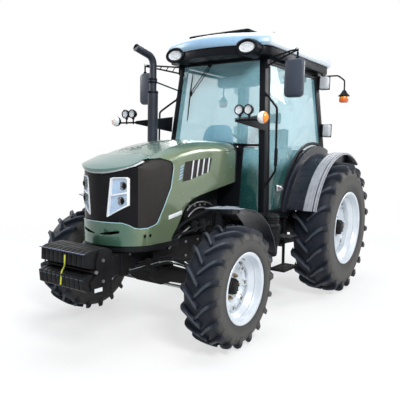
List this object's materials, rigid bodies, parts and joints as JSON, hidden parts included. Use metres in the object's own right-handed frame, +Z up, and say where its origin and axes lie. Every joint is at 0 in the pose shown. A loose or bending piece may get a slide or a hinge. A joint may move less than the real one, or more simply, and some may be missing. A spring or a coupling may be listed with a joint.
{
  "type": "farm tractor",
  "caption": "Four-wheel-drive farm tractor with glazed cab, hinged hood and doors, steering front wheels, nose weights and rear three-point linkage",
  "frame": {"origin": "on the ground, midway between the sides and between the front face of the nose weights and the ends of the lower links", "axes": "+X the tractor's left, -Y ahead, +Z up; the tractor is longest along Y"},
  "size_m": [2.158, 4.36, 2.847],
  "materials": {
    "hood_green": "metallic sage green paint",
    "roof_white": "gloss moulded roof",
    "cab_black": "black paint",
    "dark_plastic": "grained black plastic",
    "chassis_dark": "dark grey paint",
    "casting_grey": "painted casting",
    "rim_silver": "silver white paint",
    "tyre_rubber": "dusty rubber",
    "clear_glass": "pale tinted safety glass",
    "mirror_glass": "mirror in black shell",
    "lamp_lens": "clear lamp lens",
    "amber_lens": "amber signal lens",
    "steel_pins": "bright steel",
    "exhaust_metal": "dull heat-worn steel",
    "seat_cloth": "dark woven seat cloth"
  },
  "bodies": {
    "chassis": {"front_axle": "casting_grey", "engine_block": "casting_grey", "driveline_housing": "casting_grey", "front_frame": "chassis_dark", "front_weights": "casting_grey", "weight_rack": "chassis_dark", "exhaust_stack": "exhaust_metal", "cab_frame": "cab_black", "cab_floor": "cab_black", "front_glass": "clear_glass", "rear_fender_left": "dark_plastic", "rear_fender_right": "dark_plastic", "roof_liner": "dark_plastic", "roof_shell": "roof_white", "seat_base": "dark_plastic", "seat_cushion": "seat_cloth", "seat_back": "seat_cloth", "steering_column": "dark_plastic", "mirrors": "mirror_glass", "lamp_arms": "chassis_dark", "grab_rails": "chassis_dark", "lamps": "lamp_lens", "rear_signals": "amber_lens", "wiper": "dark_plastic", "air_cleaner": "dark_plastic", "fuel_tank": "dark_plastic", "battery_box": "dark_plastic", "side_steps": "chassis_dark", "drawbar": "steel_pins"},
    "hood": {"hood": "hood_green", "hood_grilles": "dark_plastic", "headlamps": "lamp_lens"},
    "door_left": {"door_frame_left": "cab_black", "door_glass_left": "clear_glass"},
    "door_right": {"door_frame_right": "cab_black", "door_glass_right": "clear_glass"},
    "rear_window": {"rear_window": "clear_glass"},
    "knuckle_left": {"knuckle_left": "casting_grey", "front_fender_left": "dark_plastic"},
    "knuckle_right": {"knuckle_right": "casting_grey", "front_fender_right": "dark_plastic"},
    "front_wheel_left": {"front_tyre_left": "tyre_rubber", "front_rim_left": "rim_silver"},
    "front_wheel_right": {"front_tyre_right": "tyre_rubber", "front_rim_right": "rim_silver"},
    "rear_wheel_left": {"rear_tyre_left": "tyre_rubber", "rear_rim_left": "rim_silver"},
    "rear_wheel_right": {"rear_tyre_right": "tyre_rubber", "rear_rim_right": "rim_silver"},
    "tie_rod": {"tie_rod": "chassis_dark"},
    "lift_arms": {"lift_arms": "steel_pins"},
    "lower_links": {"lower_links": "chassis_dark"},
    "lift_rods": {"lift_rods": "steel_pins"}
  },
  "joints": [
    {"name": "steer_left", "type": "hinge", "parent": "chassis", "child": "knuckle_left", "pos_m": [0.62, -1.1, 0.515], "axis": [0, 0, 1], "range_deg": [-35, 35]},
    {"name": "steer_right", "type": "hinge", "parent": "chassis", "child": "knuckle_right", "pos_m": [-0.62, -1.1, 0.515], "axis": [0, 0, 1], "range_deg": [-35, 35]},
    {"name": "tie_rod_pin", "type": "hinge", "parent": "knuckle_left", "child": "tie_rod", "pos_m": [0.62, -0.91, 0.347], "axis": [0, 0, 1], "range_deg": [-35, 35]},
    {"name": "front_wheel_left_roll", "type": "hinge", "parent": "knuckle_left", "child": "front_wheel_left", "pos_m": [0.856, -1.1, 0.515], "axis": [1, 0, 0], "continuous": true},
    {"name": "front_wheel_right_roll", "type": "hinge", "parent": "knuckle_right", "child": "front_wheel_right", "pos_m": [-0.856, -1.1, 0.515], "axis": [1, 0, 0], "continuous": true},
    {"name": "rear_wheel_left_roll", "type": "hinge", "parent": "chassis", "child": "rear_wheel_left", "pos_m": [0.864, 1.195, 0.765], "axis": [1, 0, 0], "continuous": true},
    {"name": "rear_wheel_right_roll", "type": "hinge", "parent": "chassis", "child": "rear_wheel_right", "pos_m": [-0.864, 1.195, 0.765], "axis": [1, 0, 0], "continuous": true},
    {"name": "hood_open", "type": "hinge", "parent": "chassis", "child": "hood", "pos_m": [0, -0.225, 1.65], "axis": [-1, 0, 0], "range_deg": [0, 50]},
    {"name": "door_left_open", "type": "hinge", "parent": "chassis", "child": "door_left", "pos_m": [0.605, 1.4097, 1.7], "axis": [-0.0789, -0.1411, 0.9868], "range_deg": [0, 65]},
    {"name": "door_right_open", "type": "hinge", "parent": "chassis", "child": "door_right", "pos_m": [-0.605, 1.4097, 1.7], "axis": [-0.0789, 0.1411, -0.9868], "range_deg": [0, 65]},
    {"name": "rear_window_open", "type": "hinge", "parent": "chassis", "child": "rear_window", "pos_m": [0, 1.37, 2.545], "axis": [1, 0, 0], "range_deg": [0, 35]},
    {"name": "lift_arm_shaft", "type": "hinge", "parent": "chassis", "child": "lift_arms", "pos_m": [0, 1.265, 1.04], "axis": [1, 0, 0], "range_deg": [-18, 22]},
    {"name": "lower_link_pins", "type": "hinge", "parent": "chassis", "child": "lower_links", "pos_m": [0, 1.265, 0.5], "axis": [1, 0, 0], "range_deg": [-18, 22]},
    {"name": "lift_rod_pins", "type": "hinge", "parent": "lift_arms", "child": "lift_rods", "pos_m": [0, 1.625, 1.04], "axis": [1, 0, 0], "range_deg": [-22, 18]}
  ],
  "couplings": [
    {"joint": "steer_right", "follows": "steer_left", "ratio": 1},
    {"joint": "tie_rod_pin", "follows": "steer_left", "ratio": -1},
    {"joint": "lower_link_pins", "follows": "lift_arm_shaft", "ratio": 1},
    {"joint": "lift_rod_pins", "follows": "lift_arm_shaft", "ratio": -1}
  ]
}
